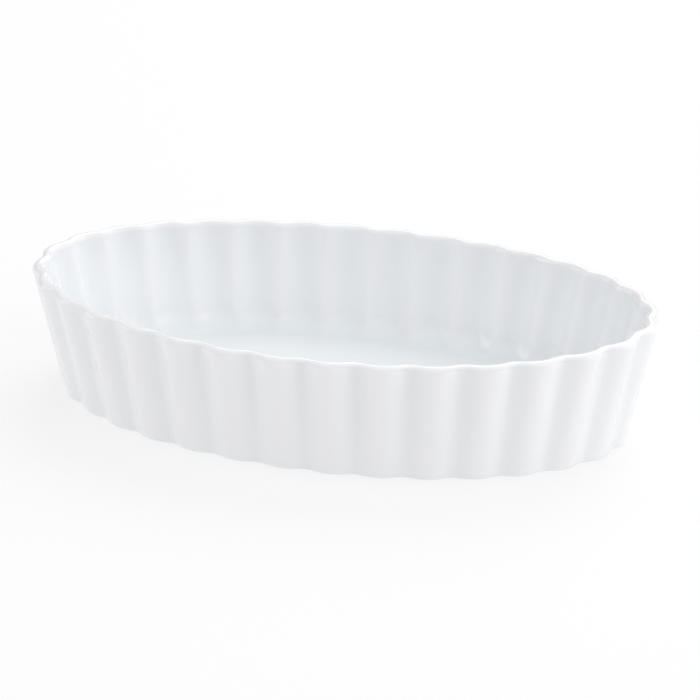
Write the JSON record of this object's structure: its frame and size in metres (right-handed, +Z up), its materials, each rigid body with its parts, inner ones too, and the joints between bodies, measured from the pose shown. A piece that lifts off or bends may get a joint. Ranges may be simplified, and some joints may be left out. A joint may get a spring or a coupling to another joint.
{
  "type": "creme brulee dish",
  "caption": "Shallow oval porcelain dish with a fluted, drafted wall, a rounded scalloped lip that rises slightly to both ends, a flat floor and a bare foot ring, for baking and serving one portion of set custard.",
  "frame": {"origin": "on the table plane, under the middle of the dish", "axes": "+X along the length of the oval, +Y across it, +Z up out of the mouth"},
  "size_m": [0.1326, 0.0738, 0.0268],
  "materials": {
    "glazed_porcelain": "clear gloss glaze on white porcelain",
    "bare_porcelain": "matte, wiped free of glaze and fired"
  },
  "bodies": {
    "root": {"rim_lip": "glazed_porcelain", "fluted_wall": "glazed_porcelain", "floor_plate": "glazed_porcelain", "foot_ring": "bare_porcelain"}
  },
  "joints": []
}
